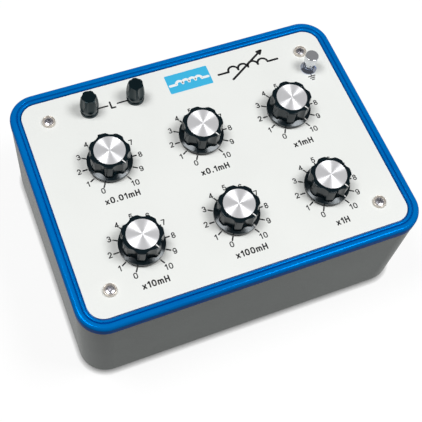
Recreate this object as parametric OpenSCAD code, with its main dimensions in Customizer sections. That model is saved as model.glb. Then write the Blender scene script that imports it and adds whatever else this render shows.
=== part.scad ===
// Inductance decade box: six rotary decades, two binding posts and an earth post on a
// screwed panel, over a deep tub with a coloured frame round its rim.
// Origin on the table under the middle of the box, +Z up, front towards -Y. Millimetres.

/* [Enclosure] */
// Width over the rim frame
overall_w = 219; // [210:1:300]
// Depth over the rim frame
overall_d = 164; // [158:1:240]
// Height of the panel's face above the table
panel_z = 80; // [70:1:120]
// Outer radius of the frame's corners
corner_r = 17.5; // [15:0.5:24]
// Wall of the case
wall = 3; // [2:0.25:4]
// Floor of the case
floor_t = 3; // [2:0.25:5]
// Rounding of the case's bottom edge
base_round = 3; // [1:0.5:6]
// How far the case stands in from the frame's outer face
case_inset = 0.3; // [0:0.1:2]
// Height of the rubber feet
foot_h = 2; // [1.5:0.5:6]
// Radius of the rubber feet
foot_r = 7; // [5:0.5:10]
// From the frame's outer face in to the middle of a foot
foot_in = 18; // [14:1:30]

/* [Rim frame] */
// Width of the frame beside the panel
frame_w = 6.5; // [6:0.25:8]
// Depth of the frame's outer face below the panel's face
frame_drop = 5.5; // [5:0.25:8]
// Height of the outer bead above the panel's face
outer_bead_h = 1; // [0.5:0.1:2]
// Height of the inner bead above the panel's face
inner_bead_h = 0.7; // [0.4:0.1:1.5]
// Width of the inner bead
inner_bead_w = 2; // [1.6:0.1:2.4]
// Width of the valley between the beads
valley_w = 0.5; // [0.3:0.1:0.8]
// Joint left open between the panel's edge and the frame
panel_joint = 0.8; // [0.15:0.05:1]
// Ledge that carries the panel
ledge_w = 4; // [3:0.5:8]

/* [Panel] */
// Thickness of the panel
panel_t = 2; // [1.5:0.1:3]
// From the panel's side edge in to its screws
screw_in_x = 16.5; // [12:0.5:20]
// From the panel's front or back edge in to its screws
screw_in_y = 16.2; // [12:0.2:20]
// Radius of the panel screws' shank
screw_r = 1.6; // [1.25:0.05:2]
// Radius of the cup washers
cup_r = 4.2; // [4:0.1:5]
// Radius of the bosses under the screws
boss_r = 4; // [3.5:0.25:6]
// Height of the ribs that tie the bosses to the case's walls
rib_h = 45; // [10:1:60]

/* [Dial layout] */
// Distance between the columns of knobs
knob_pitch_x = 60; // [56:0.5:64]
// Distance between the two rows of knobs
knob_pitch_y = 58.2; // [54:0.2:62]
// How far the middle of the two rows lies behind the panel's middle
knob_rows_y = -9.5; // [-12:0.5:-6]

/* [Knobs] */
// Radius of the skirt
skirt_r = 14.1; // [12:0.1:18]
// Height of the skirt's upright rim
rim_h = 2.2; // [1:0.1:3]
// Radius over the lobes
lobe_r = 12.6; // [11:0.1:13.5]
// Number of lobes
lobes = 7; // [5:1:9]
// Depth of the scallops between the lobes
scallop_depth = 1.4; // [0.8:0.1:1.8]
// Radius of a scallop
scallop_r = 6.7; // [5:0.1:9]
// Rounding where a lobe meets a scallop
lobe_round = 0.7; // [0.3:0.1:1]
// Height of the knob
knob_h = 14.2; // [13:0.2:20]
// Gap between the knob and the panel
knob_lift = 1.2; // [0.5:0.1:2]
// Radius of the metal face let into the top
cap_r = 9.6; // [8:0.1:10.5]
// Radius of the switch shaft
shaft_r = 3; // [2.5:0.05:3.6]

/* [Switches] */
// Radius of the switch can
can_r = 12.5; // [12:0.5:15]
// Depth of the switch can
can_h = 11; // [9:0.5:16]
// Radius of the threaded bush
bush_r = 4.5; // [4.2:0.1:5.5]
// Positions of a decade, from nought to ten
positions = 11; // [6:1:12]
// Angle between two positions
step_angle = 30; // [24:1:30]

/* [Chokes] */
// Radius of the ring on which a decade's chokes stand
ring_r = 19.5; // [18:0.5:20]
// Diameter of the chokes of the first decade
choke_d_first = 5; // [4:0.2:7]
// Diameter of the chokes of the last decade
choke_d_last = 10.8; // [8:0.2:11.5]
// Height of the chokes of the last decade
choke_h_last = 20; // [12:0.5:30]
// Radius of the hook-up wire over its insulation
wire_r = 0.8; // [0.5:0.1:1.2]

/* [Terminals] */
// Radius of the terminals' studs
stud_r = 2; // [1.5:0.1:2.4]
// Height of the binding posts above the panel
post_h = 16; // [15:0.5:24]
// Greatest radius of a binding post's cap
post_r = 5.9; // [5:0.1:6.5]
// Radius of a binding post's cap at its top
post_top_r = 4.75; // [4:0.05:5]
// Radius of a binding post's cap at its foot
post_foot_r = 5.3; // [4.6:0.1:5.6]
// Number of flutes round a binding post's cap
post_flutes = 6; // [5:1:8]
// Height of the insulating base
base_h = 2.2; // [1.6:0.2:5]
// Distance between the two binding posts
post_pitch = 30.5; // [19:0.5:40]
// From the panel's back edge in to the binding posts
post_in = 16.2; // [14:0.2:22]
// Height of the earth post above the panel
earth_h = 14; // [12:0.5:20]
// Radius of the earth post's nut
earth_r = 4.3; // [3.8:0.1:5]
// From the panel's back edge in to the earth post
earth_in = 29.8; // [28:0.2:40]

/* [Hidden] */
DECADES = 6;
COLUMNS = 3;
$fn = 64;

// How far a cut runs past the face that it opens
over = 1;

// Clearances: a dropped-in piece, a thread, a running fit, a moulded-in insert, a screw's hole,
// a screw's tip, a countersunk head and a turning cap over its seat
drop_gap = 0.15;
thread_gap = 0.05;
running_gap = 0.05;
insert_gap = 0.02;
hole_gap = 0.3;
tip_gap = 0.05;
seat_gap = 0.1;
cap_gap = 0.3;

// Panel and frame
view_w = overall_w - 2 * frame_w;
view_d = overall_d - 2 * frame_w;
view_r = corner_r - frame_w;
panel_under = panel_z - panel_t;
rim_z = panel_z - frame_drop;
ledge_t = 2;
tongue_h = 3;
tongue_t = 1.8;
valley_h = 0.25;
bead_edge = 0.6;
shoulder_r = 2.2;
screw_x = view_w / 2 - screw_in_x;
screw_y = view_d / 2 - screw_in_y;

// Case
case_w = overall_w - 2 * case_inset;
case_d = overall_d - 2 * case_inset;
case_r = corner_r - case_inset;
floor_z = foot_h + floor_t;
inner_round = max(base_round - 1, 0.5);
pilot_depth = 14;
rib_t = 2;
foot_edge = 0.5;

// Cup washer and screw
screw_len = 12;
cup_h = 2;
cup_edge = 0.3;
lip_r = cup_r - 0.55;
lip_round = 0.3;
cup_bore = screw_r + seat_gap;
cup_floor = 0.25;
seat_slope = (cup_h - lip_round - cup_floor) / (lip_r - lip_round - cup_bore);
head_r = cup_r - 1.55;
head_z = cup_floor + seat_gap + (head_r - cup_bore) * seat_slope;
head_rise = 0.45;
recess_w = 0.75;
recess_l = 3;
recess_depth = 1.1;

// Switch: the can hangs under the panel and its bush comes up through it
bush_h = 4.2;
washer_t = 0.6;
nut_t = 2;
nut_r = bush_r + 2.4;
can_wall = 1.2;
can_bottom = panel_under - can_h;
can_bore = can_r - can_wall;
base_t = 2;
contact_h = 0.4;
contacts = floor(360 / step_angle);
rotor_r = can_bore - 1.5;
rotor_room = 0.5;
wiper_l = 2.5;
wiper_w = 2;
wiper_h = 1;
pin_r = 0.5;
pin_ring = rotor_r - 1;
common_at = 4;
pin_len = 5;
pin_tail = 1;
key_r = 1.1;
key_h = 1.5;
key_at = bush_r + 5.5;

// Knob: the pointer is at the dial's last position when the box is as drawn
first_angle = 240;
pointer_angle = first_angle - step_angle * (positions - 1);
cone_h = 1.1;
neck_r = lobe_r - scallop_depth - 0.2;
top_round = 0.6;
rim_round = 0.5;
face_t = 1;
face_rise = 0.2;
face_edge = 0.3;
face_step = 0.1;
hollow_r = nut_r + 1.7;
hollow_h = bush_h - knob_lift + 1.6;
insert_r = shaft_r + 2;
insert_top = knob_h - 2.6;
shaft_room = 0.3;
shaft_top = insert_top - 0.5 - shaft_room;
grub_r = 1.45;
grub_z = (hollow_h + insert_top) / 2;
flat_at = shaft_r / 2;
flat_lead = 0.5;

// Decade boards and chokes
chokes = positions - 1;
choke_h_first = choke_d_first;
function choke_d(k) = choke_d_first + (choke_d_last - choke_d_first) * k / (DECADES - 1);
function choke_h(k) = choke_h_first + (choke_h_last - choke_h_first) * pow(k / (DECADES - 1), 1.5);
flange_share = 0.15;
spindle_share = 0.5;
winding_share = 0.9;
winding_gap = 0.05;
board_t = 1.6;
board_top = can_bottom - pin_len;
board_r = ring_r + choke_d_last / 2 + 1.1;
pin_hole_r = pin_r + 0.1;

// Places of the decades: the back row from left to right, then the front row
function decade_x(k) = (k % COLUMNS - (COLUMNS - 1) / 2) * knob_pitch_x;
function decade_y(k) = knob_rows_y + (k < COLUMNS ? 1 : -1) * knob_pitch_y / 2;

// Terminals
post_y = view_d / 2 - post_in;
POSTS = [[-knob_pitch_x, post_y], [-knob_pitch_x + post_pitch, post_y]];
POST_TURNS = [-8, 20];
EARTH = [screw_x, view_d / 2 - earth_in];
base_r = post_r - 0.2;
base_edge = 0.7;
spigot_r = stud_r + 1.9;
spigot_h = panel_t - 0.2;
collar_r = stud_r + 1.6;
collar_t = 1.2;
cap_low = base_h + cap_gap;
cap_edge = 0.5;
belly_z = 7;
flute_z = 7.2;
flute_depth = 1.1;
// share of the cap's taper that the flutes follow, so that they run out towards its top
FLUTE_LEAN = 0.5;
ridge_half = 3;
insert_wall = 1;
insert_low = base_h + collar_t + cap_gap;
insert_high = post_h - 3.2;
bore_top = post_h - 3;
stud_top = post_h - 4;
lug_t = 0.5;
lug_w = 3;
lug_reach = 7.5;
under_washer_t = 1.5;
terminal_nut_r = stud_r + 2;
terminal_nut_t = 3;
stud_below = 3;
earth_base_h = 2.2;
earth_base_r = 5.3;
earth_base_rim = 0.8;
earth_base_top = 3.7;
earth_washer_t = 0.8;
earth_washer_r = earth_r - 0.9;
earth_nut_low = earth_base_h + earth_washer_t + seat_gap;
earth_neck_r = stud_r + 0.7;
earth_neck_h = 5;
earth_edge = 0.4;
earth_stud_top = earth_h - 3;
earth_bore_top = earth_h - 2;

// Hook-up wire
bend = 2.5;
run_z = board_top + 2.8;
crossing_z = run_z + 3 * wire_r;
pad_r = board_r - 1.6;

// Flat rounded rectangle
module plate(w, d, r) {
    square([w - 2 * r, d], center = true);
    square([w, d - 2 * r], center = true);
    for (sx = [-1, 1], sy = [-1, 1])
        translate([sx * (w / 2 - r), sy * (d / 2 - r)]) circle(r);
}

// A profile carried round a rounded rectangle; its x is measured out from the corner's centre
module carried_round(w, d, r) {
    hw = w / 2 - r;
    hd = d / 2 - r;
    for (i = [0:3]) {
        along = i % 2 == 0 ? hd : hw;
        across = i % 2 == 0 ? hw : hd;
        rotate([0, 0, 90 * i]) translate([across, along, 0]) {
            rotate_extrude(angle = 90) children();
            rotate([90, 0, 0]) linear_extrude(2 * along) children();
        }
    }
}

// A block with rounded upright corners and a rounded bottom edge
module tub_block(w, d, r, h, edge) {
    carried_round(w, d, r) {
        square([r - edge, h]);
        translate([0, edge]) square([r, h - edge]);
        translate([r - edge, edge]) circle(edge);
    }
    translate([-w / 2 + r, -d / 2 + r, 0]) cube([w - 2 * r, d - 2 * r, h]);
}

// Copies what stands in the back right corner to all four corners
module four_corners() {
    for (mx = [0, 1], my = [0, 1]) mirror([mx, 0, 0]) mirror([0, my, 0]) children();
}

module case() {
    color("dimgray") {
        difference() {
            translate([0, 0, foot_h]) tub_block(case_w, case_d, case_r, rim_z - foot_h, base_round);
            translate([0, 0, floor_z])
                tub_block(case_w - 2 * wall, case_d - 2 * wall, case_r - wall, rim_z, inner_round);
        }
        four_corners() case_boss();
    }
}

// Boss for a panel screw, tied by ribs to the two walls nearest to it
module case_boss() {
    boss_h = panel_under - floor_z;
    translate([screw_x, screw_y, floor_z]) difference() {
        union() {
            cylinder(r = boss_r, h = boss_h);
            translate([0, -rib_t / 2, 0]) cube([case_w / 2 - wall / 2 - screw_x, rib_t, rib_h]);
            translate([-rib_t / 2, 0, 0]) cube([rib_t, case_d / 2 - wall / 2 - screw_y, rib_h]);
        }
        translate([0, 0, boss_h - pilot_depth]) cylinder(r = screw_r, h = pilot_depth + over);
    }
}

// Section of the frame, with x from the corner's centre and y as height
module frame_section() {
    inner = view_r;
    outer = corner_r;
    bead_r = inner_bead_w / 2;
    bead_x = inner + inner_bead_w + valley_w;
    top = panel_z + outer_bead_h;
    body_top = top - shoulder_r;
    // inner bead
    translate([inner + bead_r, panel_z + inner_bead_h - bead_r]) circle(bead_r);
    translate([inner, rim_z]) square([inner_bead_w, panel_z + inner_bead_h - bead_r - rim_z]);
    // valley between the beads
    translate([inner + bead_r, rim_z]) square([bead_r + valley_w + over, panel_z + valley_h - rim_z]);
    // outer bead, with a small round at the valley and a broad one at the shoulder
    translate([bead_x + bead_edge, top - bead_edge]) circle(bead_edge);
    translate([outer - shoulder_r, top - shoulder_r]) circle(shoulder_r);
    translate([bead_x + bead_edge, rim_z])
        square([outer - shoulder_r - bead_x - bead_edge, top - rim_z]);
    translate([bead_x, rim_z]) square([bead_edge, top - bead_edge - rim_z]);
    // body, which stands on the case's rim
    translate([inner, rim_z]) square([frame_w, body_top - rim_z]);
    // ledge under the panel
    translate([inner - ledge_w, panel_under - ledge_t]) square([ledge_w + over, ledge_t]);
    // tongue inside the case's wall
    translate([outer - case_inset - wall - drop_gap - tongue_t, rim_z - tongue_h])
        square([tongue_t, tongue_h + over]);
}

module rim_frame() {
    color("royalblue") carried_round(overall_w, overall_d, corner_r) frame_section();
}

// A hole through the panel
module through(p, r) {
    translate([p.x, p.y, panel_under - over]) cylinder(r = r, h = panel_t + 2 * over);
}

module front_panel() {
    color("whitesmoke") difference() {
        translate([0, 0, panel_under]) linear_extrude(panel_t)
            plate(view_w - 2 * panel_joint, view_d - 2 * panel_joint, view_r - panel_joint);
        four_corners() through([screw_x, screw_y], screw_r + hole_gap);
        for (p = POSTS) through(p, spigot_r + drop_gap);
        through(EARTH, stud_r + thread_gap);
        for (k = [0:DECADES - 1]) {
            through([decade_x(k), decade_y(k)], bush_r + drop_gap);
            through([decade_x(k), decade_y(k) + key_at], key_r + drop_gap);
        }
    }
}

// Countersunk oval-head screws with crossed recesses, sunk in their cups
module panel_screws() {
    dome_r = bulge_r(head_r, head_rise);
    color("silver") four_corners() translate([screw_x, screw_y, panel_z]) difference() {
        union() {
            translate([0, 0, -screw_len]) cylinder(r = screw_r - thread_gap, h = screw_len + head_z + over);
            translate([0, 0, cup_floor + seat_gap])
                cylinder(r1 = cup_bore, r2 = head_r, h = head_z - cup_floor - seat_gap);
            intersection() {
                translate([0, 0, head_z]) cylinder(r = head_r + over, h = head_rise);
                translate([0, 0, head_z + head_rise - dome_r]) sphere(dome_r);
            }
        }
        for (a = [45, 135]) rotate([0, 0, a])
            translate([-recess_l / 2, -recess_w / 2, head_z + head_rise - recess_depth])
                cube([recess_l, recess_w, recess_depth + over]);
    }
}

// Cup washers with a rolled lip and a sunk seat
module cup_washers() {
    lip_z = cup_h - lip_round;
    color("gainsboro") four_corners() translate([screw_x, screw_y, panel_z]) rotate_extrude() {
        polygon([[cup_bore, 0], [cup_r, 0], [cup_r, cup_edge], [lip_r + lip_round, lip_z],
            [lip_r - lip_round, lip_z], [cup_bore, cup_floor]]);
        translate([lip_r, lip_z]) circle(lip_round);
    }
}

module rubber_feet() {
    color("black") four_corners()
        translate([overall_w / 2 - foot_in, overall_d / 2 - foot_in, 0]) rotate_extrude() {
            translate([0, foot_edge]) square([foot_r, foot_h - foot_edge]);
            square([foot_r - foot_edge, foot_h]);
            translate([foot_r - foot_edge, foot_edge]) circle(foot_edge);
        }
}

// Outline of the knob's body: a disc with rounded scallops between its lobes
module lobed_outline() {
    scallop_at = lobe_r - scallop_depth + scallop_r;
    inner_arc = lobe_r - lobe_round;
    outer_arc = scallop_r + lobe_round;
    half = acos((pow(inner_arc, 2) + pow(scallop_at, 2) - pow(outer_arc, 2))
        / (2 * inner_arc * scallop_at));
    difference() {
        circle(lobe_r);
        for (i = [0:lobes - 1]) rotate([0, 0, (i + 0.5) * 360 / lobes]) {
            translate([scallop_at, 0]) circle(scallop_r);
            for (s = [-1, 1]) lobe_corner(inner_arc * [cos(half), s * sin(half)], scallop_at);
        }
    }
}

// What the rounding takes off one corner of a lobe, c being the centre of the rounding
module lobe_corner(c, scallop_at) {
    out = c / norm(c);
    to_scallop = ([scallop_at, 0] - c) / norm([scallop_at, 0] - c);
    reach = 3 * lobe_round;
    difference() {
        polygon([c, c + reach * out, c + reach * (out + to_scallop), c + reach * to_scallop]);
        translate(c) circle(lobe_round);
    }
}

// Skirt: an upright rim, rounded underneath, with a cone up to the body
module knob_skirt() {
    rotate_extrude() {
        translate([0, rim_round]) square([skirt_r, rim_h - rim_round]);
        square([skirt_r - rim_round, rim_h]);
        translate([skirt_r - rim_round, rim_round]) circle(rim_round);
        polygon([[0, rim_round], [skirt_r, rim_h], [neck_r, rim_h + cone_h], [0, rim_h + cone_h]]);
    }
}

// One knob standing on its own base, with its pointer along +X
module knob_body() {
    difference() {
        union() {
            knob_skirt();
            intersection() {
                translate([0, 0, rim_h]) linear_extrude(knob_h - rim_h) lobed_outline();
                rotate_extrude() {
                    square([lobe_r + over, knob_h - top_round]);
                    square([lobe_r - top_round, knob_h]);
                    translate([lobe_r - top_round, knob_h - top_round]) circle(top_round);
                }
            }
        }
        translate([0, 0, -over]) cylinder(r = hollow_r, h = hollow_h + over);
        cylinder(r = insert_r + insert_gap, h = insert_top + insert_gap);
        translate([0, 0, knob_h - face_t]) cylinder(r = cap_r + insert_gap, h = face_t + over);
        translate([0, 0, grub_z]) rotate([0, -90, 0]) cylinder(r = grub_r + hole_gap, h = lobe_r + over);
    }
}

// Places a knob's piece on decade k and turns it to the last position
module on_decade(k) {
    translate([decade_x(k), decade_y(k), panel_z + knob_lift])
        rotate([0, 0, pointer_angle]) children();
}

module knob(k) {
    color("black") on_decade(k) knob_body();
}

// Metal disc pressed into the knob's top, with a fine step round its edge
module knob_face(k) {
    color("silver") on_decade(k) translate([0, 0, knob_h - face_t]) {
        cylinder(r = cap_r, h = face_t + face_rise - face_step);
        cylinder(r = cap_r - face_edge, h = face_t + face_rise);
    }
}

// Brass insert and the grub screw that bears on the shaft's flat
module knob_insert(k) {
    color("goldenrod") on_decade(k) {
        difference() {
            translate([0, 0, hollow_h]) cylinder(r = insert_r, h = insert_top - hollow_h);
            translate([0, 0, hollow_h - over])
                cylinder(r = shaft_r + running_gap, h = shaft_top + shaft_room - hollow_h + over);
            translate([0, 0, grub_z]) rotate([0, -90, 0])
                cylinder(r = grub_r + thread_gap, h = insert_r + over);
        }
        translate([-flat_at - tip_gap, 0, grub_z]) rotate([0, -90, 0])
            cylinder(r = grub_r, h = insert_r + over - flat_at - tip_gap);
    }
}

// Shaft with the rotor moulded on it; the flat faces the grub screw
module switch_rotor(k) {
    base = panel_z + knob_lift;
    wiper_z = can_bottom + base_t + contact_h + cap_gap - base;
    rotor_z = wiper_z + wiper_h;
    color("slategray") on_decade(k) {
        difference() {
            translate([0, 0, rotor_z]) cylinder(r = shaft_r, h = shaft_top - rotor_z);
            translate([-shaft_r - over, -shaft_r - over, hollow_h - flat_lead])
                cube([shaft_r + over - flat_at, 2 * (shaft_r + over), shaft_top]);
        }
        translate([0, 0, rotor_z])
            cylinder(r = rotor_r, h = panel_under - can_wall - rotor_room - base - rotor_z);
        translate([pin_ring - wiper_l / 2, -wiper_w / 2, wiper_z])
            cube([wiper_l, wiper_w, wiper_h + over]);
    }
}

// Where the pins of switch k stand: one for each position and one for the wiper
module at_pins(k) {
    translate([decade_x(k), decade_y(k), 0]) {
        for (i = [0:contacts - 1]) rotate([0, 0, first_angle - step_angle * i])
            translate([pin_ring, 0, 0]) children();
        translate([common_at, 0, 0]) children();
    }
}

// Can with its threaded bush and locating key, and the base that carries the pins
module switch_can(k) {
    color("darkslategray") {
        translate([decade_x(k), decade_y(k), 0]) {
            difference() {
                union() {
                    translate([0, 0, can_bottom]) cylinder(r = can_r, h = can_h);
                    translate([0, 0, panel_under - over])
                        cylinder(r = bush_r, h = panel_t + bush_h + over);
                    translate([0, key_at, panel_under - over]) cylinder(r = key_r, h = key_h + over);
                }
                translate([0, 0, can_bottom - over]) cylinder(r = can_bore, h = can_h - can_wall + over);
                translate([0, 0, can_bottom])
                    cylinder(r = shaft_r + running_gap, h = can_h + panel_t + bush_h + over);
            }
            translate([0, 0, can_bottom]) cylinder(r = can_bore - drop_gap, h = base_t);
        }
        at_pins(k) translate([0, 0, board_top - board_t - pin_tail])
            cylinder(r = pin_r, h = pin_tail + board_t + pin_len + base_t + contact_h, $fn = 24);
    }
}

module switch_washers() {
    color("silver") for (k = [0:DECADES - 1])
        translate([decade_x(k), decade_y(k), panel_z]) difference() {
            cylinder(r = nut_r, h = washer_t);
            translate([0, 0, -over]) cylinder(r = bush_r + thread_gap, h = washer_t + 2 * over);
        }
}

module switch_nuts() {
    color("silver") for (k = [0:DECADES - 1])
        translate([decade_x(k), decade_y(k), panel_z + washer_t]) difference() {
            cylinder(r = nut_r, h = nut_t, $fn = 6);
            translate([0, 0, -over]) cylinder(r = bush_r + thread_gap, h = nut_t + 2 * over);
        }
}

// Round boards, each soldered to the pins of its own switch
module decade_boards() {
    color("darkgreen") for (k = [0:DECADES - 1]) difference() {
        translate([decade_x(k), decade_y(k), board_top - board_t]) cylinder(r = board_r, h = board_t);
        at_pins(k) translate([0, 0, board_top - board_t - over])
            cylinder(r = pin_hole_r, h = board_t + 2 * over, $fn = 24);
    }
}

// The ring of chokes that hangs under board k, each standing on its own lower end
module round_board(k) {
    for (i = [0:chokes - 1])
        translate([decade_x(k), decade_y(k), board_top - board_t - choke_h(k)])
            rotate([0, 0, i * 360 / chokes]) translate([ring_r, 0, 0]) children();
}

// Drum core: two flanges on a spindle
module drum_core(d, h) {
    flange = h * flange_share;
    rotate_extrude() {
        square([d / 2, flange]);
        square([d * spindle_share / 2, h]);
        translate([0, h - flange]) square([d / 2, flange]);
    }
}

module winding(d, h) {
    flange = h * flange_share;
    translate([0, 0, flange + winding_gap]) difference() {
        cylinder(d = d * winding_share, h = h - 2 * flange - 2 * winding_gap);
        translate([0, 0, -over]) cylinder(r = d * spindle_share / 2 + winding_gap, h = h);
    }
}

module choke_cores() {
    color("dimgray") for (k = [0:DECADES - 1]) round_board(k) drum_core(choke_d(k), choke_h(k));
}

module choke_windings() {
    color("orangered") for (k = [0:DECADES - 1]) round_board(k) winding(choke_d(k), choke_h(k));
}

// One end of a wire: an upright leg and the bend into the level run
module wire_end(rise) {
    s = sign(rise);
    translate([0, 0, s > 0 ? bend : rise]) cylinder(r = wire_r, h = abs(rise) - bend, $fn = 24);
    translate([bend, 0, s * bend]) rotate([90, 0, 0]) rotate([0, 0, s > 0 ? 180 : 90])
        rotate_extrude(angle = 90) translate([bend, 0]) circle(wire_r, $fn = 24);
}

// A wire from a to b that runs level between them at the given height
module wire(a, b, level = run_z) {
    span = norm([b.x - a.x, b.y - a.y]);
    translate([a.x, a.y, level]) rotate([0, 0, atan2(b.y - a.y, b.x - a.x)]) {
        wire_end(a.z - level);
        translate([bend, 0, 0]) rotate([0, 90, 0])
            cylinder(r = wire_r, h = span - 2 * bend, $fn = 24);
        translate([span, 0, 0]) mirror([1, 0, 0]) wire_end(b.z - level);
    }
}

// A soldering point near the edge of board k, and one on the tab of a terminal's lug
function pad(k, angle) =
    [decade_x(k) + pad_r * cos(angle), decade_y(k) + pad_r * sin(angle), board_top];
function lug_end(p) = [p.x, p.y - lug_reach, panel_under - under_washer_t - lug_t];

module link_wires() {
    color("crimson") {
        wire(lug_end(POSTS[0]), pad(0, 90));
        wire(pad(0, 0), pad(1, 180));
        wire(pad(1, 0), pad(2, 180));
        wire(pad(2, -90), pad(5, 90));
        wire(pad(5, 180), pad(4, 0));
        wire(pad(4, 180), pad(3, 0));
        wire(pad(3, 45), lug_end(POSTS[1]), crossing_z);
    }
}

// Radius of the arc that bulges out by rise over the length run
function bulge_r(run, rise) = (pow(run, 2) + pow(rise, 2)) / (2 * rise);

// Half section of a binding post's cap, which swells to its belly and narrows to its top
module cap_section() {
    lower_r = bulge_r(belly_z - cap_low, post_r - post_foot_r);
    upper_r = bulge_r(post_h - belly_z, post_r - post_top_r);
    edge_z = post_h - cap_edge;
    edge_x = post_r - upper_r + sqrt(pow(upper_r, 2) - pow(edge_z - belly_z, 2));
    intersection() {
        translate([0, cap_low]) square([post_r, belly_z - cap_low]);
        translate([post_r - lower_r, belly_z]) circle(lower_r, $fn = 256);
    }
    intersection() {
        translate([0, belly_z]) square([post_r, edge_z - belly_z]);
        translate([post_r - upper_r, belly_z]) circle(upper_r, $fn = 256);
    }
    translate([0, belly_z]) square([edge_x - cap_edge, post_h - belly_z]);
    translate([edge_x - cap_edge, edge_z]) circle(cap_edge);
}

// Flutes that leave narrow ridges between them and run out in a round end above the foot
module cap_flutes() {
    lean = FLUTE_LEAN * atan((post_r - post_top_r) / (post_h - belly_z));
    half = 180 / post_flutes - ridge_half;
    ridge = post_top_r * [cos(half), sin(half)];
    sag = ridge.x - post_top_r + flute_depth;
    flute_r = (pow(sag, 2) + pow(ridge.y, 2)) / (2 * sag);
    for (i = [0:post_flutes - 1]) rotate([0, 0, (i + 0.5) * 360 / post_flutes])
        translate([post_r - flute_depth + flute_r, 0, flute_z]) rotate([0, -lean, 0]) {
            cylinder(r = flute_r, h = post_h);
            sphere(flute_r);
        }
}

// Cap of a binding post, which turns clear of its insulating base
module post_cap(i) {
    color("black") translate([POSTS[i].x, POSTS[i].y, panel_z]) rotate([0, 0, POST_TURNS[i]])
        difference() {
            rotate_extrude() cap_section();
            cap_flutes();
            cylinder(r = collar_r + cap_gap, h = base_h + collar_t + cap_gap);
            cylinder(r = stud_r + insert_wall + running_gap, h = bore_top);
        }
}

// Threaded brass insert, which rides up and down the stud with its cap
module post_insert(i) {
    color("goldenrod") translate([POSTS[i].x, POSTS[i].y, panel_z + insert_low]) difference() {
        cylinder(r = stud_r + insert_wall, h = insert_high - insert_low);
        translate([0, 0, -over]) cylinder(r = stud_r + thread_gap, h = post_h);
    }
}

// Insulating base with its spigot through the panel, and the washer under the panel
module post_insulators() {
    color("black") for (p = POSTS) translate([p.x, p.y, panel_z]) {
        difference() {
            union() {
                rotate_extrude() {
                    square([base_r, base_h - base_edge]);
                    square([base_r - base_edge, base_h]);
                    translate([base_r - base_edge, base_h - base_edge]) circle(base_edge);
                }
                translate([0, 0, -spigot_h]) cylinder(r = spigot_r, h = spigot_h + over);
            }
            translate([0, 0, -panel_t - over])
                cylinder(r = stud_r + thread_gap, h = panel_t + base_h + 2 * over);
        }
        translate([0, 0, -panel_t - under_washer_t]) difference() {
            cylinder(r = base_r, h = under_washer_t);
            translate([0, 0, -over]) cylinder(r = stud_r + thread_gap, h = under_washer_t + 2 * over);
        }
    }
}

// Studs, each with a collar that clamps its insulating base
module post_studs() {
    low = -panel_t - under_washer_t - lug_t - terminal_nut_t - stud_below;
    color("gold") for (p = POSTS) translate([p.x, p.y, panel_z]) {
        translate([0, 0, low]) cylinder(r = stud_r, h = stud_top - low);
        translate([0, 0, base_h]) cylinder(r = collar_r, h = collar_t);
    }
}

// Nut of the earth post: a closed barrel on a thin neck
module earth_nut() {
    barrel_z = earth_nut_low + earth_neck_h;
    color("silver") translate([EARTH.x, EARTH.y, panel_z]) difference() {
        rotate_extrude() {
            translate([0, earth_nut_low]) square([earth_neck_r, earth_neck_h + over]);
            translate([0, barrel_z + earth_edge])
                square([earth_r, earth_h - barrel_z - 2 * earth_edge]);
            translate([0, barrel_z]) square([earth_r - earth_edge, earth_h - barrel_z]);
            for (z = [barrel_z + earth_edge, earth_h - earth_edge])
                translate([earth_r - earth_edge, z]) circle(earth_edge);
        }
        cylinder(r = stud_r + thread_gap, h = earth_bore_top);
    }
}

// Washer held captive under the nut, which lifts with it
module earth_washer() {
    color("gainsboro") translate([EARTH.x, EARTH.y, panel_z + earth_base_h]) difference() {
        cylinder(r = earth_washer_r, h = earth_washer_t);
        translate([0, 0, -over]) cylinder(r = stud_r + thread_gap, h = earth_washer_t + 2 * over);
    }
}

// Stud with a broad flange on the panel
module earth_stud() {
    low = -panel_t - lug_t - terminal_nut_t - stud_below;
    color("silver") translate([EARTH.x, EARTH.y, panel_z]) rotate_extrude() {
        translate([0, low]) square([stud_r, earth_stud_top - low]);
        polygon([[0, 0], [earth_base_r, 0], [earth_base_r, earth_base_rim],
            [earth_base_top, earth_base_h], [0, earth_base_h]]);
    }
}

// A tinned lug with its tab towards the front
module lug(p, top) {
    tab = lug_reach + lug_w / 2;
    translate([p.x, p.y, top - lug_t]) difference() {
        union() {
            cylinder(r = terminal_nut_r, h = lug_t);
            translate([-lug_w / 2, -tab, 0]) cube([lug_w, tab, lug_t]);
        }
        translate([0, 0, -over]) cylinder(r = stud_r + thread_gap, h = lug_t + 2 * over);
    }
}

module solder_lugs() {
    color("silver") {
        for (p = POSTS) lug(p, panel_under - under_washer_t);
        lug(EARTH, panel_under);
    }
}

module terminal_nut(p, top) {
    translate([p.x, p.y, top - terminal_nut_t]) difference() {
        cylinder(r = terminal_nut_r, h = terminal_nut_t, $fn = 6);
        translate([0, 0, -over]) cylinder(r = stud_r + thread_gap, h = terminal_nut_t + 2 * over);
    }
}

module terminal_nuts() {
    color("silver") {
        for (p = POSTS) terminal_nut(p, panel_under - under_washer_t - lug_t);
        terminal_nut(EARTH, panel_under - lug_t);
    }
}

case();
rim_frame();
front_panel();
panel_screws();
cup_washers();
rubber_feet();
for (k = [0:DECADES - 1]) {
    knob(k);
    knob_face(k);
    knob_insert(k);
    switch_rotor(k);
    switch_can(k);
}
switch_washers();
switch_nuts();
decade_boards();
choke_cores();
choke_windings();
link_wires();
post_cap(0);  // post_cap_1
post_cap(1);  // post_cap_2
post_insert(0);  // post_insert_1
post_insert(1);  // post_insert_2
post_insulators();
post_studs();
earth_nut();
earth_washer();
earth_stud();
solder_lugs();
terminal_nuts();
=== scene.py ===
import math

import bpy
from mathutils import Matrix, Vector


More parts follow.
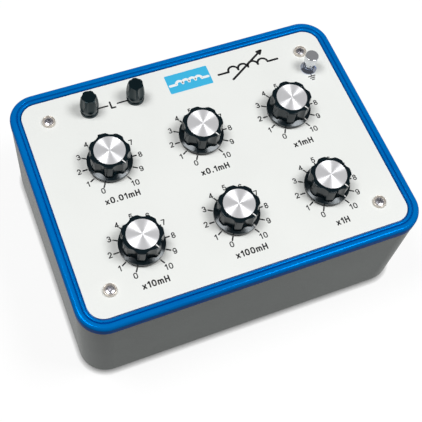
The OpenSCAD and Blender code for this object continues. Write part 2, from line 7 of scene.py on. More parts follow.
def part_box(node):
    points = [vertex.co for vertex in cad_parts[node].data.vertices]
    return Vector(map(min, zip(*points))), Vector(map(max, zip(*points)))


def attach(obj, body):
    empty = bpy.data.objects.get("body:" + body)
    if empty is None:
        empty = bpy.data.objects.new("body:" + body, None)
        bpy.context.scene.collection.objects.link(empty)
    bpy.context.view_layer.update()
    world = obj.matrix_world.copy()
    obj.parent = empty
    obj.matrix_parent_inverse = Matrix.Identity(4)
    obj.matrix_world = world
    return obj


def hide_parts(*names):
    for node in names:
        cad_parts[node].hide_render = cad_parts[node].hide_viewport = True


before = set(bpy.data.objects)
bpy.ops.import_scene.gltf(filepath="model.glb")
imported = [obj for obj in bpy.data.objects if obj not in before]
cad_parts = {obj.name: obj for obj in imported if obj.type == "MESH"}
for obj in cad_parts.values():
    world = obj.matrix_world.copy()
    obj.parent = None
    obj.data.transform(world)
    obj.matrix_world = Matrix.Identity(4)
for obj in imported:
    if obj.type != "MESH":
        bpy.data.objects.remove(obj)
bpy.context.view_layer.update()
MM = 0.001

# Camera: held above the front left corner of the box, a little more than half a metre away, and
# rolled. Its place comes from lining up the panel's edges, screws, knobs and scale marks.
PHOTO_PX = 422
FOCAL_PX = 886.8
AXIS_PX = Vector((186.8, 196.4))
VIEW_TURN = math.radians(-28.33)
VIEW_HEIGHT = math.radians(62.31)
VIEW_ROLL = math.radians(8.30)
VIEW_DISTANCE = 535.1 * MM
AIM = Vector((-23.6, -17.2, 80.0)) * MM


def brought_in(name, data):
    """A new object in the scene that holds a camera, lamp, curve or mesh."""
    thing = bpy.data.objects.new(name, data)
    bpy.context.scene.collection.objects.link(thing)
    return thing


look_right = Vector((math.cos(VIEW_TURN), math.sin(VIEW_TURN), 0))
look_ahead = Vector((-math.sin(VIEW_TURN), math.cos(VIEW_TURN), 0))
towards_camera = Vector((0, 0, math.sin(VIEW_HEIGHT))) - look_ahead * math.cos(VIEW_HEIGHT)
level = Matrix((look_right, towards_camera.cross(look_right), towards_camera)).transposed()
held = (level @ Matrix.Rotation(VIEW_ROLL, 3, "Z")).to_4x4()

camera = brought_in("camera", bpy.data.cameras.new("camera"))
camera.data.lens = camera.data.sensor_width * FOCAL_PX / PHOTO_PX
camera.data.shift_x = (PHOTO_PX / 2 - AXIS_PX.x) / PHOTO_PX
camera.data.shift_y = (AXIS_PX.y - PHOTO_PX / 2) / PHOTO_PX
camera.matrix_world = Matrix.Translation(AIM + towards_camera * VIEW_DISTANCE) @ held
bpy.context.scene.camera = camera
bpy.context.scene.view_settings.view_transform = "Standard"


# Studio table: a pale sheet that runs up into a low wall all round. A glow, to the eye and in
# reflections, makes it a white background. For the eye an ambient occlusion node dims that glow
# within a few millimetres of what stands on the table: a painted contact shadow round the box.
class Value:
    """An output of a node, so that sums on it read as plain expressions."""

    def __init__(self, nodes, socket):
        self.nodes = nodes
        self.socket = socket

    def joined(self, operation, other):
        """The outcome of this value and another one, or a number, put together."""
        return self.nodes.node("ShaderNodeMath", {"operation": operation}, {0: self, 1: other})

    def __add__(self, other):
        return self.joined("ADD", other)

    def __mul__(self, other):
        return self.joined("MULTIPLY", other)

    __radd__ = __add__
    __rmul__ = __mul__


class Nodes:
    """A tree of nodes, with one way of adding a node to it."""

    def __init__(self, tree):
        self.tree = tree

    def feed(self, socket, value):
        """Links a value to a socket, or sets the socket to a number, place or colour."""
        if isinstance(value, Value):
            self.tree.links.new(value.socket, socket)
        else:
            socket.default_value = value

    def node(self, kind, settings, values, output=0):
        """A new node of a kind: its settings come first, and then what its sockets get."""
        made = self.tree.nodes.new(kind)
        for name, setting in settings.items():
            setattr(made, name, setting)
        for name, value in values.items():
            self.feed(made.inputs[name], value)
        return Value(self, made.outputs[output])


class Finish(Nodes):
    """A material whose shader is set by the names of its sockets."""

    def __init__(self, name, **constants):
        self.material = bpy.data.materials.new(name)
        self.material.use_nodes = True
        super().__init__(self.material.node_tree)
        self.shader = self.tree.nodes["Principled BSDF"]
        self.surface({name.replace("_", " ").title(): value for name, value in constants.items()})

    def surface(self, values):
        """Feeds sockets of the shader, by name."""
        for name, value in values.items():
            self.feed(self.shader.inputs[name.replace("Ior", "IOR")], value)

    def place(self, centre=(0, 0, 0)):
        """Where a point lies on the object, measured from a centre."""
        here = self.node("ShaderNodeTexCoord", {}, {}, "Object")
        return self.node("ShaderNodeVectorMath", {"operation": "SUBTRACT"}, {0: here, 1: centre})

    def noise(self, size, detail=2.0, seed=0.0):
        """Cloudy noise from 0 to 1 whose patches are about size across."""
        return self.node("ShaderNodeTexNoise", {"noise_dimensions": "4D"},
                         {"Vector": self.place(), "W": seed, "Scale": 1 / size, "Detail": detail})

    def between(self, value, band, first=0.0, last=1.0):
        """Value taken from a band of its range into the range first to last, and held there."""
        return self.node("ShaderNodeMapRange", {"clamp": True},
                         {"Value": value, "From Min": band[0], "From Max": band[1],
                          "To Min": first, "To Max": last})

    def tint(self, share, first, second):
        """The first colour where share is 0 and the second where it is 1.

        A Mix node takes its two colours by sockets 6 and 7, and gives the mixed one by output 2.
        """
        mixer = {"data_type": "RGBA"}
        return self.node("ShaderNodeMix", mixer, {0: share, 6: first, 7: second}, 2)

    def relief(self, height, depth):
        """A normal that follows a height from 0 to 1, depth deep."""
        return self.node("ShaderNodeBump", {}, {"Height": height, "Distance": depth})


def paint(red, green, blue):
    """A colour as it is seen on screen, from 0 to 255, for a shader."""
    shown = [level / 255 for level in (red, green, blue)]
    return (*[s / 12.92 if s < 0.04045 else ((s + 0.055) / 1.055) ** 2.4 for s in shown], 1)


TABLE_R = 4.0
TABLE_SIDES = 64
WALL_H = 2.0
SWEEP_R = 0.6
SWEEP_STEPS = 6
UPWARD = 0.5     # faces that look up more than this are a cap or the floor
TABLE_GLOW = 0.85
MIRRORED_GLOW = 0.42
CONTACT_REACH = 4.5 * MM
CONTACT_RAYS = 8

bpy.ops.object.select_all(action="DESELECT")
bpy.ops.mesh.primitive_cylinder_add(vertices=TABLE_SIDES, radius=TABLE_R, depth=WALL_H,
                                    location=(0, 0, WALL_H / 2))
table = bpy.context.object
table.name = "table_sheet"
bpy.ops.object.transform_apply(location=True)
bpy.ops.object.mode_set(mode="EDIT")
bpy.ops.mesh.select_mode(type="FACE")
bpy.ops.mesh.select_all(action="DESELECT")
bpy.ops.object.mode_set(mode="OBJECT")
for face in table.data.polygons:
    face.select = face.normal.z > UPWARD
bpy.ops.object.mode_set(mode="EDIT")
bpy.ops.mesh.delete(type="FACE")
bpy.ops.mesh.select_all(action="SELECT")
bpy.ops.mesh.flip_normals()
bpy.ops.mesh.select_all(action="DESELECT")
bpy.ops.object.mode_set(mode="OBJECT")
for face in table.data.polygons:
    face.select = face.normal.z > UPWARD
bpy.ops.object.mode_set(mode="EDIT")
bpy.ops.mesh.bevel(offset=SWEEP_R, segments=SWEEP_STEPS)
bpy.ops.object.mode_set(mode="OBJECT")
bpy.ops.object.shade_smooth()

sheet = Finish("pale_sheet", base_color=paint(120, 120, 120), roughness=1.0, specular_ior_level=0.0)
by_eye, by_gloss, through_glass = (sheet.node("ShaderNodeLightPath", {}, {}, f"Is {kind} Ray")
                                   for kind in ("Camera", "Glossy", "Transmission"))
# painted contact shadow: ambient occlusion darkens the glow seen by the eye next to the box
painted_contact_shadow = sheet.node("ShaderNodeAmbientOcclusion", {"samples": CONTACT_RAYS},
                      {"Distance": CONTACT_REACH}, "AO")
sheet.surface({
    "Emission Color": paint(255, 255, 255),
    "Emission Strength": (TABLE_GLOW * by_eye * painted_contact_shadow * painted_contact_shadow
                          + MIRRORED_GLOW * (by_gloss + through_glass)),
})
table.data.materials.append(sheet.material)

# Studio light: two soft lamps hang over the left and right of the box, in a dim pale room. Together
# they light the panel at the level of its own colour.
ROOM_LIGHT = 0.11
LEVEL = math.pi     # light that makes a matt surface as bright as its colour
LAMP_SIDE = 0.42
LAMP_AWAY = 1.3

world = bpy.data.worlds.new("room")
world.use_nodes = True
bpy.context.scene.world = world
room = Nodes(world.node_tree)
walls = room.node("ShaderNodeBackground", {},
                  {"Color": paint(255, 255, 255), "Strength": ROOM_LIGHT})
room.feed(room.tree.nodes["World Output"].inputs["Surface"], walls)


def softbox(name, right, ahead, share):
    """A square lamp in a direction from the box that adds a share of the full level."""
    up = math.sqrt(1 - right ** 2 - ahead ** 2)
    direction = look_right * right + look_ahead * ahead + Vector((0, 0, up))
    lamp = bpy.data.lights.new(name, "AREA")
    lamp.size = LAMP_SIDE
    lamp.energy = share * LEVEL * math.pi * LAMP_AWAY ** 2 / up
    holder = brought_in(name, lamp)
    holder.location = direction * LAMP_AWAY
    holder.rotation_euler = direction.to_track_quat("Z", "Y").to_euler()


softbox("left_lamp", right=-0.32, ahead=-0.04, share=0.425)
softbox("right_lamp", right=0.41, ahead=0.03, share=0.43)

# Tub: an open box with rounded corners, moulded in grey plastic with a fine sand-blasted grain,
# and with screw bosses in its corners. It stands on four feet and carries the rim frame.
MIDDLE = (0.3, 0.7)     # the bands of a noise's values that most of it lies in
WIDE = (0.2, 0.8)
DRIFT_SIZE = 35 * MM
DRIFT_SEED = 3
DRIFT_SHADE = 0.86
MOULD_SPREAD = 0.05


def coat(piece, finish):
    """Gives a piece one finish all over."""
    piece.data.materials.clear()
    piece.data.materials.append(finish.material)


def dress(finish, *names):
    """Gives CAD nodes a finish."""
    for name in names:
        coat(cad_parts[name], finish)


def moulded(name, colour, dullness, grain, depth, **constants):
    """Moulded plastic: its colour drifts a little and its skin has an even fine grain."""
    finish = Finish(name, **constants)
    drift = finish.noise(DRIFT_SIZE, seed=DRIFT_SEED)
    skin = finish.noise(grain, detail=1)
    deeper = tuple(DRIFT_SHADE * part for part in colour[:3]) + (1,)
    finish.surface({
        "Base Color": finish.tint(finish.between(drift, MIDDLE), colour, deeper),
        "Roughness": finish.between(skin, WIDE, dullness - MOULD_SPREAD, dullness + MOULD_SPREAD),
        "Normal": finish.relief(skin, depth),
    })
    return finish


tub_plastic = moulded("grey_tub_plastic", paint(118, 130, 120), dullness=0.24, grain=0.35 * MM,
                      depth=0.012 * MM, specular_ior_level=0.4, specular_tint=paint(238, 240, 255))
dress(tub_plastic, "case")

# Feet: four soft black discs pressed from rubber and stuck under the corners of the tub. They lift
# the tub just clear of the table.
foot_rubber = moulded("foot_rubber", paint(38, 38, 38), dullness=0.75, grain=0.5 * MM,
                      depth=0.05 * MM)
dress(foot_rubber, "rubber_feet")

# Rim frame: one moulding in pearly blue plastic round the panel. A steep step parts its thin inner
# bead from the broad outer one. It drops over the tub's rim and its ledge carries the panel.
CORNER_AT = Vector((92, 64.5)) * MM
STEP_R = 13.1675 * MM
STEP_FLOOR = 80.25 * MM
STEP_DEPTH = 0.9 * MM
SAME_LEVEL = 0.004 * MM     # how near two heights or two points count as one
SAME_POINT = 0.001 * MM
SOFT_BEND = math.radians(35)
RIM_DRIFT = 50 * MM
RIM_BAND = (0.35, 0.65)
PEEL_SIZE = 1.6 * MM
PEEL_DEPTH = 0.003 * MM


def pick(*pieces):
    """Selects pieces and nothing else, and makes the first of them the active one."""
    bpy.ops.object.select_all(action="DESELECT")
    for piece in pieces:
        piece.select_set(True)
    bpy.context.view_layer.objects.active = pieces[0]


def merged_copy(name, node):
    """A copy of a CAD node's mesh, loose triangles merged, in edit mode and all selected."""
    piece = brought_in(name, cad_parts[node].data.copy())
    pick(piece)
    bpy.ops.mesh.customdata_custom_splitnormals_clear()
    bpy.ops.object.mode_set(mode="EDIT")
    bpy.ops.mesh.select_mode(type="FACE")
    bpy.ops.mesh.select_all(action="SELECT")
    bpy.ops.mesh.remove_doubles(threshold=SAME_POINT)
    return piece


stepped_rim = merged_copy("stepped_rim", "rim_frame")
bpy.ops.mesh.select_mode(type="VERT")
bpy.ops.mesh.select_all(action="DESELECT")
bpy.ops.object.mode_set(mode="OBJECT")
for point in stepped_rim.data.vertices:
    out = Vector((max(abs(point.co.x) - CORNER_AT.x, 0), max(abs(point.co.y) - CORNER_AT.y, 0)))
    point.select = abs(point.co.z - STEP_FLOOR) < SAME_LEVEL and out.length < STEP_R
bpy.ops.object.mode_set(mode="EDIT")
bpy.ops.transform.translate(value=(0, 0, -STEP_DEPTH))
bpy.ops.object.mode_set(mode="OBJECT")
bpy.ops.object.shade_smooth_by_angle(angle=SOFT_BEND)
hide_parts("rim_frame")
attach(stepped_rim, "box")

rim = Finish("blue_rim_plastic", roughness=0.18, metallic=0.15, specular_ior_level=0.02,
             specular_tint=paint(60, 95, 200))
rim.surface({
    "Base Color": rim.tint(rim.between(rim.noise(RIM_DRIFT), RIM_BAND),
                           paint(0, 117, 200), paint(0, 110, 193)),
    "Normal": rim.relief(rim.noise(PEEL_SIZE, detail=1), PEEL_DEPTH),
})
coat(stepped_rim, rim)

# Panel: a metal plate with a coat of pale grey paint that is faintly speckled, printed on its
# face. It lies on the frame's ledge and four screws hold it down.
PANEL_DRIFT = 40 * MM
PANEL_DULLNESS = (0.36, 0.46)
SPECKLE_SIZE = 0.7 * MM
SPECKLE_DEPTH = 0.006 * MM

panel = Finish("pale_panel_paint")
speckle = panel.noise(SPECKLE_SIZE)
panel.surface({
    "Base Color": panel.tint(panel.between(panel.noise(PANEL_DRIFT), MIDDLE),
                             paint(241, 243, 240), paint(238, 240, 237)),
    "Roughness": panel.between(speckle, WIDE, *PANEL_DULLNESS),
    "Normal": panel.relief(speckle, SPECKLE_DEPTH),
})
dress(panel, "front_panel")

# Print on the panel: a thin layer of black ink, screened on for each dial as eleven marks with
# their numerals and the value of a step, and beside the posts as the signs of what they are for.
INK_T = 0.02 * MM
INK_COVER = 0.3 * MM
INK_BAND = (0.3, 0.9)
INK_DULLNESS = (0.40, 0.55)
MARK_W = 0.92 * MM
MARK_FROM = 14.5 * MM
MARK_TO = 17.1 * MM
NUMERAL_AT = 19.6 * MM
NUMERAL_H = 3.2 * MM
NUMERAL_W = 0.66 * MM
TWO_DIGITS_OUT = 1.0 * MM
LEGEND_AT = Vector((-0.2, -24.6, 0)) * MM
LEGEND_H = 3.4 * MM
LEGEND_W = 0.88 * MM
LETTER_GAP = 0.45
BOW_STEP = 24
SHARP_BEND = math.radians(40)
END_ANGLES = [math.radians(degrees) for degrees in (90, 60, 30)]     # steps of a round end
LEGENDS = ("x0.01mH", "x0.1mH", "x1mH", "x10mH", "x100mH", "x1H")
POSITIONS = 11
FIRST_ANGLE = math.radians(240)
STEP = math.radians(30)

panel_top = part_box("front_panel")[1].z


def screened(name, colour, thin):
    """Screen ink of one colour, a little thinner and paler in places."""
    finish = Finish(name, specular_ior_level=0.3)
    cover = finish.noise(INK_COVER)
    finish.surface({
        "Base Color": finish.tint(finish.between(cover, INK_BAND), colour, thin),
        "Roughness": finish.between(cover, WIDE, *INK_DULLNESS),
    })
    return finish


def bow(x, y, across, up, first, last):
    """Points on part of an ellipse about (x, y), between two angles in degrees."""
    steps = max(3, round(abs(last - first) / BOW_STEP))
    turns = [math.radians(first + (last - first) * step / steps) for step in range(steps + 1)]
    return [(x + across * math.cos(turn), y + up * math.sin(turn)) for turn in turns]


# Each character as its width and its strokes, in a box one unit high.
CHARACTERS = {
    "0": (0.58, [bow(0.29, 0.69, 0.29, 0.31, 0, 180) + bow(0.29, 0.31, 0.29, 0.31, 180, 360)
                 + [(0.58, 0.69)]]),
    "1": (0.30, [[(0.0, 0.76), (0.28, 1.0), (0.28, 0.0)]]),
    "2": (0.58, [bow(0.29, 0.70, 0.28, 0.30, 165, -35) + [(0.0, 0.0), (0.58, 0.0)]]),
    "3": (0.58, [bow(0.28, 0.75, 0.26, 0.25, 150, -90) + bow(0.28, 0.26, 0.30, 0.26, 90, -155)]),
    "4": (0.62, [[(0.46, 0.0), (0.46, 1.0), (0.0, 0.26), (0.62, 0.26)]]),
    "5": (0.58, [[(0.52, 1.0), (0.11, 1.0), (0.04, 0.50)]
                 + bow(0.28, 0.32, 0.30, 0.32, 125, -155)]),
    "6": (0.58, [bow(0.29, 0.31, 0.29, 0.31, -180, 180),
                 bow(0.29, 0.69, 0.29, 0.31, 30, 180) + [(0.0, 0.31)]]),
    "7": (0.56, [[(0.0, 1.0), (0.56, 1.0), (0.20, 0.0)]]),
    "8": (0.58, [bow(0.29, 0.76, 0.25, 0.24, -90, 270), bow(0.29, 0.26, 0.29, 0.26, -90, 270)]),
    "9": (0.58, [bow(0.29, 0.69, 0.29, 0.31, 0, 360),
                 bow(0.29, 0.31, 0.29, 0.31, -150, 0) + [(0.58, 0.69)]]),
    ".": (0.10, [[(0.05, 0.0), (0.05, 0.08)]]),
    "x": (0.50, [[(0.0, 0.0), (0.50, 0.66)], [(0.0, 0.66), (0.50, 0.0)]]),
    "m": (0.84, [[(0.0, 0.0), (0.0, 0.68)], bow(0.21, 0.46, 0.21, 0.22, 180, 0) + [(0.42, 0.0)],
                 bow(0.63, 0.46, 0.21, 0.22, 180, 0) + [(0.84, 0.0)]]),
    "H": (0.62, [[(0.0, 0.0), (0.0, 1.0)], [(0.62, 0.0), (0.62, 1.0)],
                 [(0.0, 0.52), (0.62, 0.52)]]),
    "L": (0.54, [[(0.0, 1.0), (0.0, 0.0), (0.54, 0.0)]]),
}


def words(text, height, place):
    """The strokes of a line of characters, with its middle at a place."""
    widths = [CHARACTERS[letter][0] + LETTER_GAP for letter in text]
    cursor = (LETTER_GAP - sum(widths)) / 2
    lines = []
    for letter, width in zip(text, widths):
        for stroke in CHARACTERS[letter][1]:
            lines.append([place + Vector((cursor + x, y - 0.5, 0)) * height for x, y in stroke])
        cursor += width
    return lines


def runs(line):
    """Splits a line of points where it bends sharply."""
    run = [line[0]]
    for before, here, after in zip(line, line[1:], line[2:]):
        run.append(here)
        if (here - before).angle(after - here) > SHARP_BEND:
            yield run
            run = [here]
    yield run + [line[-1]]


def printed_lines(lines, width):
    """Strokes of ink with round ends, each along its own list of points, flat on the panel."""
    curve = bpy.data.curves.new("strokes", "CURVE")
    curve.dimensions = "3D"
    curve.bevel_depth = width / 2
    curve.bevel_resolution = 1
    for run in (run for line in lines for run in runs(line)):
        out_first = (run[0] - run[1]).normalized() * width / 2
        out_last = (run[-1] - run[-2]).normalized() * width / 2
        steps = ([(run[0] + out_first * math.sin(a), math.cos(a)) for a in END_ANGLES]
                 + [(place, 1.0) for place in run]
                 + [(run[-1] + out_last * math.sin(a), math.cos(a)) for a in reversed(END_ANGLES)])
        spline = curve.splines.new("POLY")
        spline.points.add(len(steps) - 1)
        for point, (place, share) in zip(spline.points, steps):
            point.co = (place.x, place.y, 0, 1)
            point.radius = share
    strokes = brought_in("strokes", curve)
    pick(strokes)
    bpy.ops.object.convert(target="MESH")
    bpy.ops.object.shade_flat()
    strokes.scale.z = INK_T / width
    strokes.location.z = panel_top + INK_T / 2
    return strokes


def one_print(name, parts, finish):
    """Joins parts into one print on the panel, with its place in its vertices."""
    pick(*parts)
    bpy.ops.object.join()
    bpy.ops.object.transform_apply(location=True, rotation=True, scale=True)
    parts[0].name = name
    parts[0].data.name = name
    coat(parts[0], finish)
    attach(parts[0], "box")


def on_circle(angle, radius):
    """The step from a dial's centre to a point on a circle round it."""
    return Vector((math.cos(angle), math.sin(angle), 0)) * radius


def middle(name):
    """The middle of a CAD node's box, at the height of the panel's face."""
    low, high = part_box(name)
    return Vector(((low.x + high.x) / 2, (low.y + high.y) / 2, panel_top))


black_ink = screened("black_ink", paint(16, 17, 20), paint(34, 35, 38))
for number, legend in enumerate(LEGENDS, start=1):
    centre = middle(f"switch_can_{number}")
    angles = [FIRST_ANGLE - STEP * position for position in range(POSITIONS)]
    marks = [(centre + on_circle(a, MARK_FROM), centre + on_circle(a, MARK_TO)) for a in angles]
    numerals = []
    for position, angle in enumerate(angles):
        numeral = str(position)
        away = NUMERAL_AT + TWO_DIGITS_OUT * (len(numeral) - 1)
        numerals += words(numeral, NUMERAL_H, centre + on_circle(angle, away))
    value_of_step = words(legend, LEGEND_H, centre + LEGEND_AT)
    one_print(f"dial_print_{number}", [printed_lines(marks, MARK_W),
                                       printed_lines(numerals, NUMERAL_W),
                                       printed_lines(value_of_step, LEGEND_W)], black_ink)

# Signs by the terminals: the L of inductance between two lines that lead to the binding posts, and
# three bars for earth. They are screened in the same black ink.
LETTER_H = 4.6 * MM
LETTER_W = 1.15 * MM
LEAD_GAP = 3.3 * MM
BASE_R = 5.9 * MM
LEAD_W = 1.05 * MM
EARTH_SIGN_AT = Vector((86.1, 39.2, 0)) * MM
EARTH_BARS = ((0.0, 4.6), (-1.35, 3.1), (-2.7, 1.6))
EARTH_STEM = 2.2 * MM
BAR_W = 0.75 * MM

post_left, post_right = middle("post_cap_1"), middle("post_cap_2")
letter_at = (post_left + post_right) / 2
letter = words("L", LETTER_H, letter_at)
reach = Vector((BASE_R, 0, 0))
gap = Vector((LEAD_GAP, 0, 0))
leads = [(post_left + reach, letter_at - gap), (letter_at + gap, post_right - reach)]
one_print("inductance_sign", [printed_lines(leads, LEAD_W), printed_lines(letter, LETTER_W)],
          black_ink)

bars = [(EARTH_SIGN_AT, EARTH_SIGN_AT + Vector((0, EARTH_STEM, 0)))]
for drop, width in EARTH_BARS:
    half = Vector((width / 2, 0, 0)) * MM
    bar_at = EARTH_SIGN_AT + Vector((0, drop, 0)) * MM
    bars.append((bar_at - half, bar_at + half))
one_print("earth_sign", [printed_lines(bars, BAR_W)], black_ink)

# Blue block and coil signs: a block of light blue ink with a coil's sign in white on it, and beside
# it the sign of a coil that can be set, in black. All are screened on like the scales.
BLOCK_AT = Vector((8.0, 61.8, 0)) * MM
BLOCK_W = 29.4 * MM
BLOCK_H = 14.2 * MM
BLOCK_CORNER = 0.8 * MM
CORNER_STEPS = 5
HUMPS = 4
HUMP_STEPS = 12
WHITE_HUMP = 4.4 * MM
WHITE_W = 1.8 * MM
BLACK_SIGN_AT = Vector((49.0, 61.0, 0)) * MM
BLACK_HUMP = 7.0 * MM
BLACK_W = 1.5 * MM
ARROW = Vector((13.0, 8.0, 0)) * MM
BARB = 3.2 * MM
BARB_ANGLE = math.radians(155)


def coil_sign(centre, hump):
    """A coil's sign round a point: a lead, a row of half circles and another lead."""
    left = centre - Vector((HUMPS * hump / 2, hump / 4, 0))
    line = [left - Vector((hump, 0, 0))]
    for n in range(HUMPS):
        line.append(left + Vector((n * hump, 0, 0)))
        top = left + Vector(((n + 0.5) * hump, 0, 0))
        for step in range(1, HUMP_STEPS):
            line.append(top + on_circle(math.pi * (1 - step / HUMP_STEPS), hump / 2))
    line += [left + Vector((share * hump, 0, 0)) for share in (HUMPS, HUMPS + 1)]
    return line


bpy.ops.object.select_all(action="DESELECT")
bpy.ops.mesh.primitive_cube_add(size=1, location=BLOCK_AT + Vector((0, 0, panel_top)),
                                scale=(BLOCK_W, BLOCK_H, INK_T))
block = bpy.context.object
bpy.ops.object.transform_apply(location=True, scale=True)
heights = [point.co.z for point in block.data.vertices]
upright = [edge.index for edge in block.data.edges
           if abs(heights[edge.vertices[0]] - heights[edge.vertices[1]]) > INK_T / 2]
bpy.ops.object.mode_set(mode="EDIT")
bpy.ops.mesh.select_mode(type="EDGE")
bpy.ops.mesh.select_all(action="DESELECT")
bpy.ops.object.mode_set(mode="OBJECT")
for index in upright:
    block.data.edges[index].select = True
bpy.ops.object.mode_set(mode="EDIT")
bpy.ops.mesh.bevel(offset=BLOCK_CORNER, segments=CORNER_STEPS)
bpy.ops.object.mode_set(mode="OBJECT")
one_print("blue_block", [block], screened("blue_ink", paint(52, 180, 226), paint(70, 188, 230)))

white_sign = printed_lines([coil_sign(BLOCK_AT, WHITE_HUMP)], WHITE_W)
white_sign.location.z += INK_T / 2
white_ink = screened("white_ink", paint(244, 246, 246), paint(234, 238, 240))
one_print("white_coil_sign", [white_sign], white_ink)

tip = BLACK_SIGN_AT + ARROW
arrow = [(BLACK_SIGN_AT - ARROW, tip)]
for turn in (-BARB_ANGLE, BARB_ANGLE):
    arrow.append((tip, tip + on_circle(math.atan2(ARROW.y, ARROW.x) + turn, BARB)))
black_sign = printed_lines([coil_sign(BLACK_SIGN_AT, BLACK_HUMP), *arrow], BLACK_W)
one_print("black_coil_sign", [black_sign], black_ink)

# Screws and cups: four plated screws with cross recesses, each in a pressed cup of bright nickel
# that spreads its hold on the painted panel.
CLOUD_SIZE = 1.5 * MM
BRIGHTER = 0.03
DULLER = 0.05


def plated(name, colour, dullness, metallic=1.0):
    """Bright metal plate with faint clouds in its shine."""
    finish = Finish(name, metallic=metallic, base_color=colour)
    clouds = finish.noise(CLOUD_SIZE)
    finish.surface({"Roughness": finish.between(clouds, MIDDLE, dullness - BRIGHTER,
                                                dullness + DULLER)})
    return finish


dress(plated("cup_nickel", paint(222, 214, 204), dullness=0.22, metallic=0.5), "cup_washers")
dress(plated("screw_steel", paint(194, 193, 199), dullness=0.22, metallic=0.85), "panel_screws")

# Switches: under each dial a moulded can hangs from its threaded bush, held by a washer and a
# hexagon nut, with a ring of plated pins below. The shaft and the rotor turn inside it.
KNOBS = range(1, 7)

can_plastic = moulded("switch_can_plastic", paint(52, 58, 58), dullness=0.45, grain=0.3 * MM,
                      depth=0.01 * MM)
rotor_plastic = moulded("rotor_plastic", paint(105, 112, 120), dullness=0.5, grain=0.3 * MM,
                        depth=0.01 * MM)
dress(can_plastic, *[f"switch_can_{n}" for n in KNOBS])
dress(rotor_plastic, *[f"switch_rotor_{n}" for n in KNOBS])
dress(plated("switch_plating", paint(200, 200, 198), dullness=0.25),
      "switch_washers", "switch_nuts")

# Boards, chokes and wires: under each dial a glass laminate board carries ten chokes, each a drum
# of ferrite wound with enamelled copper. Red sleeved wires join the boards to the tinned lugs.
green_board = moulded("green_board", paint(34, 96, 56), dullness=0.3, grain=0.8 * MM,
                      depth=0.004 * MM)
core_ferrite = moulded("core_ferrite", paint(62, 60, 60), dullness=0.6, grain=0.2 * MM,
                       depth=0.03 * MM)
red_sleeve = moulded("red_sleeve", paint(170, 24, 26), dullness=0.4, grain=1.0 * MM,
                     depth=0.005 * MM)
dress(green_board, "decade_boards")
dress(core_ferrite, "choke_cores")
dress(plated("winding_copper", paint(196, 104, 60), dullness=0.3), "choke_windings")
dress(red_sleeve, "link_wires")
dress(plated("tinned_brass", paint(198, 196, 188), dullness=0.3), "solder_lugs", "terminal_nuts")

# Knobs: a lobed body over a conical skirt, pressed in black thermoset, with a white line let into
# one lobe and a spun aluminium disc in its top. A brass insert grips the switch shaft.
LINE_W = 0.8 * MM
LINE_FROM = 9.95 * MM
LINE_T = 0.04 * MM
LINE_BOTTOM = 1.9 * MM
LINE_WEAR = 0.4 * MM
LINE_DULLNESS = (0.35, 0.5)
LOOKS_UP = 0.35     # faces that look up less than this carry no line
REST_ANGLE = FIRST_ANGLE - STEP * (POSITIONS - 1)
TURNED_GROOVE = 0.12 * MM
GROOVE_DEPTH = 0.001 * MM
FACE_DULLNESS = (0.34, 0.40)

knob_black = moulded("knob_thermoset", paint(10, 25, 31), dullness=0.16, grain=1.2 * MM,
                     depth=0.004 * MM, specular_ior_level=0.42, specular_tint=paint(236, 243, 248))
dress(knob_black, *[f"knob_{n}" for n in KNOBS])
dress(plated("insert_brass", paint(214, 176, 104), dullness=0.25),
      *[f"knob_insert_{n}" for n in KNOBS])


def cut_away(place, direction):
    """Cuts off all of the mesh in edit mode that lies beyond a place in a direction."""
    bpy.ops.mesh.select_all(action="SELECT")
    bpy.ops.mesh.bisect(plane_co=place, plane_no=direction, clear_outer=True)


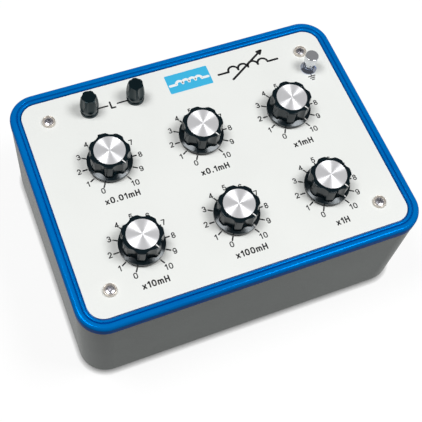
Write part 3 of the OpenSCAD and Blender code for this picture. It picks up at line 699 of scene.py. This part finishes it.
line_paint = Finish("pointer_paint")
line_wear = line_paint.noise(LINE_WEAR)
line_paint.surface({
    "Base Color": line_paint.tint(line_wear, paint(244, 244, 242), paint(226, 227, 226)),
    "Roughness": line_paint.between(line_wear, MIDDLE, *LINE_DULLNESS),
})
along = on_circle(REST_ANGLE, 1)
across = on_circle(REST_ANGLE + math.pi / 2, 1)
for number in KNOBS:
    centre = middle(f"knob_face_{number}")
    pointer = merged_copy(f"pointer_line_{number}", f"knob_{number}")
    for side in (across, -across):
        cut_away(centre + side * LINE_W / 2, side)
    cut_away(centre + along * LINE_FROM, -along)
    cut_away(centre + Vector((0, 0, LINE_BOTTOM)), Vector((0, 0, -1)))
    bpy.ops.mesh.select_all(action="DESELECT")
    bpy.ops.object.mode_set(mode="OBJECT")
    for face in pointer.data.polygons:
        face.select = face.normal.z < LOOKS_UP
    bpy.ops.object.mode_set(mode="EDIT")
    bpy.ops.mesh.delete(type="FACE")
    bpy.ops.object.mode_set(mode="OBJECT")
    wall = pointer.modifiers.new("wall", "SOLIDIFY")
    wall.thickness = LINE_T
    wall.offset = 1
    bpy.ops.object.modifier_apply(modifier=wall.name)
    coat(pointer, line_paint)
    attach(pointer, f"dial_{number}")

for number in KNOBS:
    disc = Finish(f"spun_face_{number}", metallic=0.48, anisotropic=1.0, anisotropic_rotation=0.25)
    out = disc.place(middle(f"knob_face_{number}"))
    flat = disc.node("ShaderNodeVectorMath", {"operation": "MULTIPLY"}, {0: out, 1: (1, 1, 0)})
    radius = disc.node("ShaderNodeVectorMath", {"operation": "LENGTH"}, {0: flat}, "Value")
    grooves = disc.node("ShaderNodeTexNoise", {"noise_dimensions": "1D"},
                        {"W": radius, "Scale": 1 / TURNED_GROOVE, "Detail": 2.0})
    disc.surface({
        "Base Color": disc.tint(grooves, paint(246, 246, 248), paint(240, 240, 243)),
        "Roughness": disc.between(grooves, WIDE, *FACE_DULLNESS),
        "Normal": disc.relief(grooves, GROOVE_DEPTH),
    })
    dress(disc, f"knob_face_{number}")

# Binding posts: fluted caps pressed in black thermoset round a threaded brass insert, over black
# insulating bases on gilt studs. The cap screws up to free the wire hole.
post_black = moulded("post_thermoset", paint(11, 25, 30), dullness=0.20, grain=1.2 * MM,
                     depth=0.004 * MM, specular_ior_level=0.38, specular_tint=paint(200, 236, 244))
dress(post_black, "post_cap_1", "post_cap_2", "post_insulators")
dress(plated("post_gilding", paint(222, 184, 104), dullness=0.22),
      "post_insert_1", "post_insert_2", "post_studs")

# Earth post: a long turned nut, a washer and a flanged stud in bright nickel plate, bolted to the
# bare metal of the panel.
dress(plated("earth_nickel", paint(224, 226, 230), dullness=0.14, metallic=0.78), "earth_nut")
dress(plated("earth_flange_nickel", paint(196, 204, 222), dullness=0.08),
      "earth_washer", "earth_stud")
